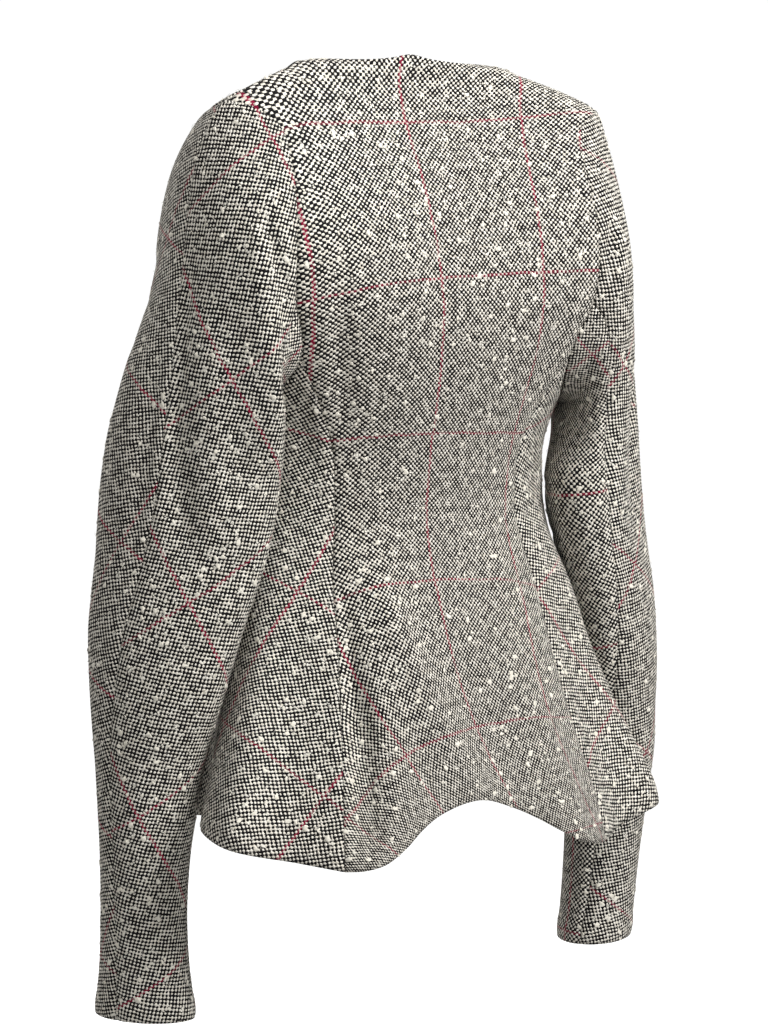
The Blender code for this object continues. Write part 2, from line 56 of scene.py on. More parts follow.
# where the grain drifts from straight, mm, by place on the flat panel:
# u from the middle in units of 150 mm, v from 300 mm up in units of 300 mm
backDrift = {
    "terms": ("1", "u", "v", "uv", "vv", "uu", "vvv", "uvv", "uuv", "vvvv", "uvvv", "uuu"),
    "across": (-2.8, 21.0, -15.9, -16.7, 18.6, 18.0, 31.2, 11.0, -8.0, -50.2, -30.6, -20.8),
    "along": (-292.7, 7.4, 3.9, -24.8, -5.5, 17.2, -4.1, -22.4, -16.7, -7.2, 54.3, -6.8),
}
sideBackDrift = {
    "terms": ("1", "u", "v", "uv", "vv"),
    "across": (21.0, -5.9, -2.4, 4.1, 4.3),
    "along": (-310.5, 0.3, 22.4, -7.4, 3.6),
}
sleeveBackDrift = {
    "terms": ("1", "u", "v", "uv", "vv", "uu", "vvv"),
    "across": (-297.9, -7.7, -26.4, -2.0, 1.3, -2.1, 2.6),
    "along": (-266.1, -6.8, 2.1, -11.6, -8.1, -0.6, -6.3),
}
sideFrontDrift = {"terms": ("1",), "across": (-30.0,), "along": (-318.0,)}
frontDrift = {"terms": ("1",), "across": (22.0,), "along": (-325.0,)}
sleeveFrontDrift = {"terms": ("1", "u"), "across": (-262.0, 0.0), "along": (-240.0, 0.0)}
underDrift = {"terms": ("1",), "across": (12.0,), "along": (-255.0,)}

# soft creases, in metres on the flat left or middle panel:
# u, v, half-width and height at each point of the path
backFolds = [
    (
        (-0.094, 0.195, 0.009, 0.0),
        (-0.096, 0.125, 0.013, -0.0075),
        (-0.092, 0.060, 0.016, -0.0135),
        (-0.098, -0.010, 0.018, -0.0130),
    ),
    (
        (-0.066, 0.195, 0.012, 0.0),
        (-0.050, 0.130, 0.017, 0.0065),
        (-0.029, 0.075, 0.021, 0.0098),
        (-0.002, 0.005, 0.026, 0.0085),
    ),
    (
        (-0.103, 0.425, 0.008, 0.0),
        (-0.099, 0.395, 0.009, -0.0036),
        (-0.094, 0.360, 0.010, -0.0040),
        (-0.079, 0.280, 0.008, 0.0),
    ),
    (
        (-0.010, 0.500, 0.012, 0.0),
        (-0.010, 0.445, 0.013, -0.0012),
        (-0.014, 0.380, 0.013, -0.0015),
        (-0.008, 0.230, 0.011, 0.0),
    ),
    ((0.100, 0.410, 0.009, 0.0), (0.095, 0.372, 0.010, -0.0021), (0.084, 0.300, 0.008, 0.0)),
    (
        (0.048, 0.160, 0.014, 0.0),
        (0.060, 0.115, 0.015, -0.0022),
        (0.085, 0.055, 0.017, -0.0028),
        (0.100, -0.010, 0.018, -0.0024),
    ),
    ((0.000, 0.165, 0.016, 0.0), (0.010, 0.085, 0.018, -0.0012), (0.030, 0.010, 0.020, -0.0014)),
    ((-0.088, 0.262, 0.004, 0.0), (-0.058, 0.250, 0.005, -0.0009), (-0.030, 0.254, 0.004, 0.0)),
    ((0.090, 0.246, 0.004, 0.0), (0.060, 0.238, 0.005, -0.0008), (0.036, 0.243, 0.004, 0.0)),
]
sideBackFolds = [
    (
        (0.056, 0.205, 0.010, 0.0),
        (0.064, 0.150, 0.014, 0.0010),
        (0.076, 0.090, 0.018, 0.0016),
        (0.100, 0.000, 0.020, 0.0020),
    ),
    (
        (0.043, 0.385, 0.008, 0.0),
        (0.043, 0.355, 0.009, -0.0012),
        (0.043, 0.309, 0.010, -0.0018),
        (0.048, 0.255, 0.008, 0.0),
    ),
    ((0.026, 0.175, 0.012, 0.0), (0.032, 0.086, 0.016, 0.0022), (0.047, 0.000, 0.018, 0.0022)),
    ((-0.010, 0.262, 0.005, 0.0), (0.018, 0.252, 0.006, -0.0012), (0.040, 0.256, 0.004, 0.0)),
]
sideFrontFolds = [
    ((-0.040, 0.200, 0.008, 0.0), (-0.052, 0.120, 0.012, -0.0028), (-0.070, 0.000, 0.014, -0.0030)),
    ((-0.012, 0.170, 0.012, 0.0), (-0.016, 0.080, 0.016, 0.0020), (-0.020, 0.000, 0.018, 0.0020)),
    ((-0.020, 0.372, 0.007, 0.0), (-0.008, 0.330, 0.009, -0.0020), (-0.004, 0.270, 0.008, 0.0)),
]
frontFolds = [
    ((-0.060, 0.430, 0.007, 0.0), (-0.034, 0.400, 0.010, -0.0022), (-0.004, 0.384, 0.008, 0.0)),
    ((-0.010, 0.185, 0.012, 0.0), (-0.014, 0.110, 0.016, -0.0028), (-0.022, 0.000, 0.018, -0.0032)),
    ((0.028, 0.150, 0.014, 0.0), (0.034, 0.070, 0.018, 0.0018), (0.036, 0.000, 0.018, 0.0018)),
    ((-0.034, 0.256, 0.004, 0.0), (-0.008, 0.247, 0.005, -0.0010), (0.022, 0.252, 0.004, 0.0)),
]
sleeveBackFolds = [
    (
        (-0.067, 0.590, 0.008, 0.0),
        (-0.062, 0.540, 0.010, -0.0036),
        (-0.053, 0.478, 0.012, -0.0052),
        (-0.036, 0.405, 0.012, -0.0050),
        (-0.020, 0.345, 0.010, 0.0),
    ),
    (
        (-0.040, 0.590, 0.012, 0.0),
        (-0.030, 0.500, 0.016, 0.0028),
        (-0.012, 0.420, 0.016, 0.0028),
        (0.004, 0.350, 0.012, 0.0),
    ),
    (
        (-0.008, 0.622, 0.004, 0.0),
        (-0.004, 0.609, 0.0045, -0.0034),
        (0.006, 0.591, 0.005, -0.0036),
        (0.020, 0.562, 0.004, 0.0),
    ),
    (
        (-0.016, 0.618, 0.006, 0.0),
        (-0.012, 0.603, 0.007, 0.0018),
        (-0.002, 0.570, 0.007, 0.0020),
        (0.009, 0.540, 0.006, 0.0),
    ),
    (
        (0.034, 0.374, 0.006, 0.0),
        (0.014, 0.362, 0.008, -0.0024),
        (-0.002, 0.335, 0.008, -0.0020),
        (-0.020, 0.318, 0.007, 0.0),
    ),
    (
        (0.036, 0.334, 0.006, 0.0),
        (0.018, 0.312, 0.008, -0.0018),
        (-0.006, 0.292, 0.008, -0.0014),
        (-0.026, 0.284, 0.006, 0.0),
    ),
    (
        (-0.010, 0.260, 0.010, 0.0),
        (-0.012, 0.170, 0.012, -0.0014),
        (-0.006, 0.090, 0.012, -0.0010),
        (0.000, 0.040, 0.010, 0.0),
    ),
    ((0.012, 0.480, 0.008, 0.0), (0.002, 0.447, 0.010, -0.0012), (0.010, 0.400, 0.009, 0.0)),
]
sleeveFrontFolds = [
    (
        (0.111, 0.555, 0.010, 0.0),
        (0.110, 0.460, 0.013, -0.0026),
        (0.109, 0.386, 0.012, -0.0020),
        (0.098, 0.320, 0.010, 0.0),
    ),
    ((0.020, 0.600, 0.007, 0.0), (0.060, 0.590, 0.008, -0.0008), (0.100, 0.600, 0.006, 0.0)),
    ((0.015, 0.565, 0.007, 0.0), (0.058, 0.552, 0.008, -0.0009), (0.105, 0.566, 0.006, 0.0)),
    ((0.010, 0.520, 0.007, 0.0), (0.050, 0.512, 0.008, -0.0008), (0.090, 0.524, 0.006, 0.0)),
    ((0.006, 0.372, 0.006, 0.0), (0.034, 0.356, 0.008, -0.0022), (0.060, 0.362, 0.006, 0.0)),
    ((0.004, 0.330, 0.006, 0.0), (0.030, 0.318, 0.008, -0.0018), (0.062, 0.326, 0.006, 0.0)),
    ((0.030, 0.250, 0.010, 0.0), (0.034, 0.160, 0.012, -0.0014), (0.030, 0.060, 0.010, 0.0)),
]
underFolds = [
    ((-0.030, 0.392, 0.005, 0.0), (-0.004, 0.380, 0.006, -0.0018), (0.024, 0.388, 0.005, 0.0)),
    ((-0.026, 0.352, 0.005, 0.0), (0.002, 0.342, 0.006, -0.0020), (0.026, 0.350, 0.005, 0.0)),
    ((-0.024, 0.312, 0.005, 0.0), (0.000, 0.304, 0.006, -0.0014), (0.022, 0.310, 0.005, 0.0)),
]

# every cloth piece: degrees that its grain is turned, its drift, its creases, and the sides not sewn
panels = {
    "back": {"turn": -2.5, "drift": backDrift, "folds": backFolds, "free": ("foot",), "neck": (4, 12)},
}


# a pair of pieces, the right one the mirror of the left
def addPair(name, turn, drift, folds, front=False):
    for side, edge in (("left", "right"), ("right", "left")):
        free = ("foot", edge) if front else ("foot",)
        panel = {"turn": turn, "drift": drift, "folds": folds, "free": free, "mirror": side == "right"}
        panels[name + "_" + side] = panel


addPair("side_back", 20.0, sideBackDrift, sideBackFolds)
addPair("side_front", -14.0, sideFrontDrift, sideFrontFolds)
addPair("front", 0.0, frontDrift, frontFolds, front=True)
addPair("sleeve_back", -40.0, sleeveBackDrift, sleeveBackFolds)
addPair("sleeve_front", -58.0, sleeveFrontDrift, sleeveFrontFolds)
addPair("sleeve_under", 2.0, underDrift, underFolds)


# points and triangles of a solid with its loose corners joined
def weldedTriangles(thing):
    mesh = thing.data
    points = np.empty(len(mesh.vertices) * 3, np.float32)
    mesh.vertices.foreach_get("co", points)
    points = points.reshape(-1, 3).astype(float)
    mesh.calc_loop_triangles()
    corners = np.empty(len(mesh.loop_triangles) * 3, np.int32)
    mesh.loop_triangles.foreach_get("vertices", corners)
    keys, first, place = np.unique(np.round(points, 6), axis=0, return_index=True, return_inverse=True)
    faces = place.reshape(-1)[corners].reshape(-1, 3)
    return points[first], faces


# splits a cloth wall into its two wide sides by dropping the narrow rim round it
def wallSides(points, faces):
    edges = np.linalg.norm(points[faces] - points[np.roll(faces, 1, axis=1)], axis=2)
    across = (edges > 0.96 * cloth["wall"]) & (edges < cloth["wall"] + 4e-6)
    wide = faces[~across.any(axis=1)]
    parent = {corner: corner for corner in np.unique(wide)}

    def root(item):
        while parent[item] != item:
            parent[item] = parent[parent[item]]
            item = parent[item]
        return item

    for a, b, c in wide:
        parent[root(a)] = root(b)
        parent[root(b)] = root(c)
    roots = np.array([root(face[0]) for face in wide])
    return [wide[roots == value] for value in np.unique(roots)]


# puts the corners of one side in rows and columns, walking across from one edge of the panel
def gridOfSide(points, faces):
    apex = {}
    spread = {}
    count = {}
    for face in faces:
        for a, b, c in (face, np.roll(face, -1), np.roll(face, -2)):
            apex[(a, b)] = c
            first = points[b] - points[a]
            second = points[c] - points[a]
            cosine = first @ second / np.linalg.norm(first) / np.linalg.norm(second)
            angle = math.acos(np.clip(cosine, -1, 1))
            spread[a] = spread.get(a, 0) + angle
            count[a] = count.get(a, 0) + 1
    border = {a: b for (a, b) in apex if (b, a) not in apex}
    loop = [min(border)]
    while border[loop[-1]] != loop[0]:
        loop.append(border[loop[-1]])
    sharp = [place for place, corner in enumerate(loop) if count[corner] <= 2]
    fits = []
    for turns in itertools.combinations(sharp, 4):
        wide = turns[1] - turns[0]
        tall = turns[2] - turns[1]
        opposite = turns[3] - turns[2] == wide and len(loop) - turns[3] + turns[0] == tall
        if opposite and (wide + 1) * (tall + 1) == len(spread):
            fits.append((sum(spread[loop[place]] for place in turns), turns))
    turns = min(fits)[1]
    loop = loop[turns[0] :] + loop[: turns[0]]
    wide = turns[1] - turns[0]
    tall = turns[2] - turns[1]
    rows = [loop[: wide + 1]]
    left = [loop[0]] + loop[: -tall - 1 : -1]
    for step in range(1, tall + 1):
        above = rows[-1]
        row = [left[step]]
        for a, b in zip(above, above[1:]):
            far = apex[(a, b)]
            row.append(apex[(row[-1], b)] if far == row[-1] else far)
        rows.append(row)
    return np.array(rows)


def surfaceArea(grid):
    across = grid[1:, 1:] - grid[:-1, :-1]
    other = grid[1:, :-1] - grid[:-1, 1:]
    return np.linalg.norm(np.cross(across, other), axis=-1).sum() / 2


# the outer side of a CAD wall in rows from the hem up, columns to the right as seen from outside
def outerGrid(name):
    points, faces = weldedTriangles(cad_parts[name])
    best = None
    for side in wallSides(points, faces):
        order = gridOfSide(points, side)
        grid = points[order]
        if best is None or surfaceArea(grid) > surfaceArea(best[0]):
            best = (grid, order, side)
    grid, order, side = best
    if grid.shape[0] < grid.shape[1]:
        grid = grid.transpose(1, 0, 2)
        order = order.T
    if grid[0, :, 2].mean() > grid[-1, :, 2].mean():
        grid = grid[::-1]
        order = order[::-1]
    corner = points[side[0]]
    normal = np.cross(corner[1] - corner[0], corner[2] - corner[0])
    place = np.argwhere(order == side[0][0])[0]
    row = min(place[0], grid.shape[0] - 2)
    column = min(place[1], grid.shape[1] - 2)
    up = grid[row + 1, column] - grid[row, column]
    right = grid[row, column + 1] - grid[row, column]
    if np.cross(right, up) @ normal < 0:
        grid = grid[:, ::-1]
    return grid


# rows of a grid at fractional places, on a curve through every row
def splineRows(grid, places):
    last = len(grid) - 1
    low = np.clip(np.floor(places).astype(int), 0, last - 1)
    part = (places - low).reshape(-1, *([1] * (grid.ndim - 1)))
    atStart = (low == 0).reshape(part.shape)
    atEnd = (low == last - 1).reshape(part.shape)
    before = np.where(atStart, 2 * grid[0] - grid[1], grid[np.maximum(low - 1, 0)])
    after = np.where(atEnd, 2 * grid[last] - grid[last - 1], grid[np.minimum(low + 2, last)])
    a = grid[low]
    b = grid[low + 1]
    cubic = 3 * (a - b) + after - before
    square = 2 * before - 5 * a + 4 * b - after
    return a + part / 2 * (b - before + part * (square + part * cubic))


def splineGrid(grid, rowPlaces, columnPlaces):
    dense = splineRows(grid, rowPlaces)
    return splineRows(dense.swapaxes(0, 1), columnPlaces).swapaxes(0, 1)


def gridNormals(points):
    up = np.gradient(points, axis=0)
    right = np.gradient(points, axis=1)
    normal = np.cross(right, up)
    return normal / np.linalg.norm(normal, axis=-1, keepdims=True)


def gridFaces(rows, columns, shift=0, flip=False):
    index = np.arange(rows * columns).reshape(rows, columns) + shift
    corners = [index[:-1, :-1], index[:-1, 1:], index[1:, 1:], index[1:, :-1]]
    quads = np.stack(corners, axis=-1).reshape(-1, 4)
    return quads[:, ::-1] if flip else quads


def newMesh(name, points, faces, uv=None, smooth=True):
    mesh = bpy.data.meshes.new(name)
    mesh.from_pydata(points.tolist(), [], faces.tolist())
    if smooth:
        mesh.shade_smooth()
    if uv is not None:
        layer = mesh.uv_layers.new(name="grain")
        corners = np.empty(len(mesh.loops), np.int32)
        mesh.loops.foreach_get("vertex_index", corners)
        layer.data.foreach_set("uv", uv[corners].astype(np.float32).ravel())
    thing = bpy.data.objects.new(name, mesh)
    bpy.context.scene.collection.objects.link(thing)
    return thing


# the panel laid flat, in metres, as a maker's pattern piece
def flattened(grid):
    rows, columns = grid.shape[:2]
    thing = newMesh("flat", grid.reshape(-1, 3), gridFaces(rows, columns), np.zeros((rows * columns, 2)))
    bpy.context.view_layer.objects.active = thing
    thing.select_set(True)
    bpy.ops.object.mode_set(mode="EDIT")
    bpy.ops.mesh.select_all(action="SELECT")
    bpy.ops.uv.unwrap(method="ANGLE_BASED", margin=0.0)
    bpy.ops.object.mode_set(mode="OBJECT")
    mesh = thing.data
    corners = np.empty(len(mesh.loops), np.int32)
    mesh.loops.foreach_get("vertex_index", corners)
    values = np.empty(len(mesh.loops) * 2, np.float32)
    mesh.uv_layers["grain"].data.foreach_get("uv", values)
    uv = np.zeros((rows * columns, 2))
    uv[corners] = values.reshape(-1, 2)
    bpy.data.objects.remove(thing)
    uv = uv.reshape(rows, columns, 2)
    right = uv[:-1, 1:] - uv[:-1, :-1]
    up = uv[1:, :-1] - uv[:-1, :-1]
    flatArea = right[..., 0] * up[..., 1] - right[..., 1] * up[..., 0]
    if flatArea.sum() < 0:
        uv[..., 0] *= -1
    return uv * math.sqrt(surfaceArea(grid) / abs(flatArea.sum()))


def turned(uv, degrees):
    angle = math.radians(degrees)
    turn = np.array([[math.cos(angle), math.sin(angle)], [-math.sin(angle), math.cos(angle)]])
    return uv @ turn


def driftOf(uv, drift):
    u = uv[..., 0] / 0.15
    v = (uv[..., 1] - 0.3) / 0.3
    powers = np.stack([u ** term.count("u") * v ** term.count("v") for term in drift["terms"]], axis=-1)
    return np.stack([powers @ np.array(drift[way]) for way in ("across", "along")], axis=-1) / 1000


# the flat panel in metres with its middle column upright and the foot of that column at nought
def laidFlat(grid):
    uv = flattened(grid)
    middle = (grid.shape[1] - 1) // 2
    run = uv[-1, middle] - uv[0, middle]
    uv = turned(uv, -math.degrees(math.atan2(-run[0], run[1])))
    return uv - uv[0, middle]


# place on the woven cloth of each point of the flat panel
def grainUv(uv, panel):
    mirror = np.array([-1.0 if panel.get("mirror") else 1.0, 1.0])
    seen = uv * mirror
    return (turned(seen, panel["turn"]) + driftOf(seen, panel["drift"])) * mirror


# distance in the flat from every grid point to a stretch of the panel's edge
def edgeDistance(uv, edge):
    gap = np.full(uv.shape[:2], 9.0)
    for a, b in zip(edge, edge[1:]):
        run = b - a
        share = np.clip(((uv - a) @ run) / max(run @ run, 1e-12), 0, 1)
        gap = np.minimum(gap, np.linalg.norm(uv - a - share[..., None] * run, axis=-1))
    return gap


def softStep(value):
    value = np.clip(value, 0, 1)
    return value * value * (3 - 2 * value)


# height of the listed creases over the flat panel
def foldDepth(uv, folds):
    total = np.zeros(uv.shape[:2])
    for fold in folds:
        path = np.array(fold)
        nearest = np.full(uv.shape[:2], 9.0)
        height = np.zeros(uv.shape[:2])
        for a, b in zip(path, path[1:]):
            run = b[:2] - a[:2]
            share = np.clip(((uv - a[:2]) @ run) / (run @ run), 0, 1)
            eased = softStep(share)
            gap = np.linalg.norm(uv - a[:2] - share[..., None] * run, axis=-1)
            width = a[2] + (b[2] - a[2]) * share
            depth = a[3] + (b[3] - a[3]) * eased
            closer = gap / width < nearest
            nearest = np.where(closer, gap / width, nearest)
            height = np.where(closer, depth * np.exp(-((gap / width) ** 2) * 1.2), height)
        total += height
    return total


# places along a grid whose steps have the given lengths, close enough for the creases
def finePlaces(lengths):
    steps = [
        np.linspace(i, i + 1, max(2, math.ceil(length / cloth["step"])), endpoint=False)
        for i, length in enumerate(lengths)
    ]
    return np.append(np.concatenate(steps), len(lengths))


pieces = {}


# one cloth piece: a thin shell with creases, pressed seams and a soft free edge, on its solid's outer side
def buildPanel(name, panel):
    grid = outerGrid(name)
    rowPlaces = finePlaces(np.linalg.norm(np.diff(grid, axis=0), axis=-1).max(axis=1))
    columnPlaces = finePlaces(np.linalg.norm(np.diff(grid, axis=1), axis=-1).max(axis=0))
    outer = splineGrid(grid, rowPlaces, columnPlaces)
    normals = gridNormals(outer)
    uv = splineGrid(laidFlat(grid), rowPlaces, columnPlaces)
    panel["cut"] = np.ptp(uv.reshape(-1, 2), axis=0)
    edges = {"foot": [uv[0]], "top": [uv[-1]], "left": [uv[:, 0]], "right": [uv[:, -1]]}
    freeEdges = [edges.pop(side)[0] for side in panel["free"]]
    if "neck" in panel:
        start, end = np.searchsorted(columnPlaces, panel["neck"])
        freeEdges.append(uv[-1, start : end + 1])
        edges["top"] = [uv[-1, : start + 1], uv[-1, end:]]
    sewn = np.minimum.reduce([edgeDistance(uv, run) for runs in edges.values() for run in runs])
    free = np.minimum.reduce([edgeDistance(uv, run) for run in freeEdges])
    mirror = np.array([-1.0 if panel.get("mirror") else 1.0, 1.0])
    lift = foldDepth(uv * mirror, panel["folds"]) * softStep(sewn / cloth["foldEase"])
    lift -= cloth["seamDip"] * np.exp(-((sewn / cloth["seamDipWidth"]) ** 2))
    swell = softStep(1 - np.abs(free - cloth["hemSwellPlace"]) / cloth["hemSwellWidth"])
    lift += cloth["hemSwell"] * swell
    outer = outer + normals * lift[..., None]
    full = cloth["thickness"]
    rounding = softStep(free / cloth["edgeRounding"])
    thickness = full * (cloth["edgeShare"] + (1 - cloth["edgeShare"]) * rounding)
    outer = outer - normals * (full - thickness)[..., None] / 2
    inner = outer - normals * thickness[..., None]
    count = outer.shape[0] * outer.shape[1]
    index = np.arange(count).reshape(outer.shape[:2])
    border = np.concatenate([index[0], index[1:, -1], index[-1, -2::-1], index[-2:0:-1, 0]])
    after = np.roll(border, -1)
    rim = np.stack([after, border, border + count, after + count], axis=-1)
    front = gridFaces(*outer.shape[:2])
    faces = np.concatenate([front, gridFaces(*outer.shape[:2], shift=count, flip=True), rim])
    points = np.concatenate([outer.reshape(-1, 3), inner.reshape(-1, 3)])
    flat = np.concatenate([grainUv(uv, panel).reshape(-1, 2)] * 2)
    thing = newMesh("cloth_" + name, points, faces, flat)
    area = surfaceArea(outer)
    pieces[name] = {"points": outer.reshape(-1, 3), "faces": front, "thing": thing, "area": area}
    return thing


for name, panel in panels.items():
    thing = buildPanel(name, panel)


def groupSocket(tree, name, kind, output=False, default=None):
    socket = tree.interface.new_socket(name=name, in_out="OUTPUT" if output else "INPUT", socket_type=kind)
    if default is not None:
        socket.default_value = default
    return socket


# adds nodes to a tree and joins them with short calls
class Graph:

    def __init__(self, tree):
        self.tree = tree

    def node(self, kind, inputs=None, **settings):
        made = self.tree.nodes.new(kind)
        for key, value in settings.items():
            setattr(made, key, value)
        for key, value in (inputs or {}).items():
            self.feed(made.inputs[key], value)
        return made

    def feed(self, socket, value):
        if isinstance(value, bpy.types.NodeSocket):
            self.tree.links.new(value, socket)
        else:
            socket.default_value = value

    def math(self, operation, *values, clamp=False):
        made = self.tree.nodes.new("ShaderNodeMath")
        made.operation = operation
        made.use_clamp = clamp
        for place, value in enumerate(values):
            self.feed(made.inputs[place], value)
        return made.outputs[0]

    def mix(self, share, first, second):
        made = self.tree.nodes.new("ShaderNodeMix")
        made.data_type = "RGBA"
        self.feed(made.inputs[0], share)
        self.feed(made.inputs[6], first)
        self.feed(made.inputs[7], second)
        return made.outputs[2]


# the tweed, lengths in metres
weave = {
    "yarnPitch": 0.0020,
    "wander": 0.0030,  # how far the yarns stray
    "paneWidth": 0.100,
    "paneHeight": 0.123,
    "lineWidth": 0.0021,
    "weftShare": 0.75,  # strength of the lines across
    "light": (0.97, 0.94, 0.87, 1),
    "lightShade": (0.66, 0.61, 0.52, 1),
    "dark": (0.006, 0.006, 0.007, 1),
    "line": (0.24, 0.007, 0.036, 1),
    "slub": (0.80, 0.765, 0.68, 1),
    "relief": 0.0006,
}


# plain weave of ecru one way and black the other, with a thin windowpane,
# as colour and height worked out from the flat panel's metres
def tweedGroup():
    tree = bpy.data.node_groups.new("windowpane tweed", "ShaderNodeTree")
    groupSocket(tree, "Flat", "NodeSocketVector")
    groupSocket(tree, "Yarn pitch", "NodeSocketFloat", default=weave["yarnPitch"])
    groupSocket(tree, "Light yarn", "NodeSocketColor", default=weave["light"])
    groupSocket(tree, "Dark yarn", "NodeSocketColor", default=weave["dark"])
    groupSocket(tree, "Line yarn", "NodeSocketColor", default=weave["line"])
    groupSocket(tree, "Colour", "NodeSocketColor", output=True)
    groupSocket(tree, "Height", "NodeSocketFloat", output=True)
    g = Graph(tree)
    given = g.node("NodeGroupInput")
    flat = given.outputs["Flat"]
    wander = g.node("ShaderNodeTexNoise", {"Vector": flat, "Scale": 55.0, "Detail": 2.0})
    centring = {0: wander.outputs["Color"], 1: (0.5, 0.5, 0.5)}
    centred = g.node("ShaderNodeVectorMath", centring, operation="SUBTRACT")
    shaking = {0: centred.outputs[0], "Scale": weave["wander"]}
    shake = g.node("ShaderNodeVectorMath", shaking, operation="SCALE")
    moved = g.node("ShaderNodeVectorMath", {0: flat, 1: shake.outputs[0]}, operation="ADD")
    parts = g.node("ShaderNodeSeparateXYZ", {0: moved.outputs[0]})
    u = parts.outputs[0]
    v = parts.outputs[1]
    across = g.math("DIVIDE", u, given.outputs["Yarn pitch"])
    along = g.math("DIVIDE", v, given.outputs["Yarn pitch"])
    waveU = g.math("SINE", g.math("MULTIPLY", across, math.pi))
    waveV = g.math("SINE", g.math("MULTIPLY", along, math.pi))
    crossing = g.math("MULTIPLY", waveU, waveV)
    speck = g.node("ShaderNodeTexNoise", {"Vector": flat, "Scale": 620.0, "Detail": 3.0, "Roughness": 0.7})
    patch = g.node("ShaderNodeTexNoise", {"Vector": flat, "Scale": 150.0, "Detail": 2.0})
    grain = g.math("SUBTRACT", speck.outputs[0], 0.5)
    uneven = g.math("SUBTRACT", patch.outputs[0], 0.5)
    rough = g.math("ADD", crossing, g.math("MULTIPLY", grain, 1.9))
    mixed = g.math("ADD", rough, g.math("MULTIPLY", uneven, 1.6))
    light = g.node("ShaderNodeMapRange", {0: mixed, 1: 0.06, 2: 0.24})
    light.interpolation_type = "SMOOTHSTEP"

    def line(value, size):
        share = g.math("FRACT", g.math("ADD", g.math("DIVIDE", value, size), 0.5))
        gap = g.math("MULTIPLY", g.math("ABSOLUTE", g.math("SUBTRACT", share, 0.5)), size)
        soft = {0: gap, 1: weave["lineWidth"] * 0.60, 2: weave["lineWidth"] * 0.40}
        near = g.node("ShaderNodeMapRange", soft)
        near.interpolation_type = "SMOOTHSTEP"
        return near.outputs[0]

    weft = g.math("MULTIPLY", line(v, weave["paneHeight"]), weave["weftShare"])
    pane = g.math("MAXIMUM", line(u, weave["paneWidth"]), weft)
    fade = g.node("ShaderNodeTexNoise", {"Vector": flat, "Scale": 38.0, "Detail": 2.0})
    kept = g.node("ShaderNodeMapRange", {0: fade.outputs[0], 1: 0.36, 2: 0.54, 3: 0.45, 4: 1.0})
    faint = g.math("MULTIPLY", pane, kept.outputs[0])
    depth = g.math("MULTIPLY_ADD", light.outputs[0], -0.62, 0.90)
    shown = g.math("MULTIPLY", faint, depth, clamp=True)
    tint = g.node("ShaderNodeTexNoise", {"Vector": flat, "Scale": 240.0, "Detail": 1.0})
    paler = g.math("MULTIPLY_ADD", tint.outputs[0], 1.2, -0.25, clamp=True)
    ecru = g.mix(paler, weave["lightShade"], given.outputs["Light yarn"])
    blot = g.node("ShaderNodeTexNoise", {"Vector": flat, "Scale": 175.0, "Detail": 3.0, "Roughness": 0.6})
    slub = g.node("ShaderNodeMapRange", {0: blot.outputs[0], 1: 0.625, 2: 0.67})
    plain = g.mix(light.outputs[0], given.outputs["Dark yarn"], ecru)
    woven = g.mix(slub.outputs[0], plain, weave["slub"])
    colour = g.mix(shown, woven, given.outputs["Line yarn"])
    relief = g.math("ADD", g.math("ABSOLUTE", crossing), g.math("MULTIPLY", speck.outputs[0], 0.9))
    height = g.math("MULTIPLY_ADD", slub.outputs[0], 0.8, relief)
    g.node("NodeGroupOutput", {"Colour": colour, "Height": height})
    return tree


tweed = tweedGroup()


def tweedMaterial(name):
    material = bpy.data.materials.new(name)
    material.use_nodes = True
    g = Graph(material.node_tree)
    shader = material.node_tree.nodes["Principled BSDF"]
    flat = g.node("ShaderNodeUVMap", uv_map="grain")
    woven = g.node("ShaderNodeGroup", node_tree=tweed)
    g.feed(woven.inputs["Flat"], flat.outputs[0])
    relief = {"Height": woven.outputs["Height"], "Strength": 0.9, "Distance": weave["relief"]}
    bump = g.node("ShaderNodeBump", relief)
    g.feed(shader.inputs["Base Color"], woven.outputs["Colour"])
    g.feed(shader.inputs["Normal"], bump.outputs[0])
    shader.inputs["Roughness"].default_value = 0.95
    shader.inputs["Specular IOR Level"].default_value = 0.04
    shader.inputs["Sheen Weight"].default_value = 0.05
    shader.inputs["Sheen Roughness"].default_value = 0.6
    shader.inputs["Sheen Tint"].default_value = (0.95, 0.90, 0.80, 1)
    return material


clothMaterial = tweedMaterial("tweed")
for name, panel in panels.items():
    thing = pieces[name]["thing"]
    thing.data.materials.append(clothMaterial)
    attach(thing, "root")
    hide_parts(name)
print("panels dressed")


# nubs of slub yarn and loose fibres
slubs = {
    "body": {"density": 4600.0, "seed": 11},
    "sleeves": {"density": 4500.0, "seed": 12},
    "size": (0.0020, 0.0014, 0.00036),
    "smallest": 0.42,
    "largest": 1.45,
    "pale": (0.90, 0.87, 0.78, 1),
    "deep": (0.60, 0.55, 0.46, 1),
}
fibres = {
    "density": 5600.0,
    "length": 0.0042,
    "radius": 0.00006,
    "seed": 21,
    "pale": (0.88, 0.86, 0.80, 1),
    "deep": (0.25, 0.24, 0.22, 1),
}


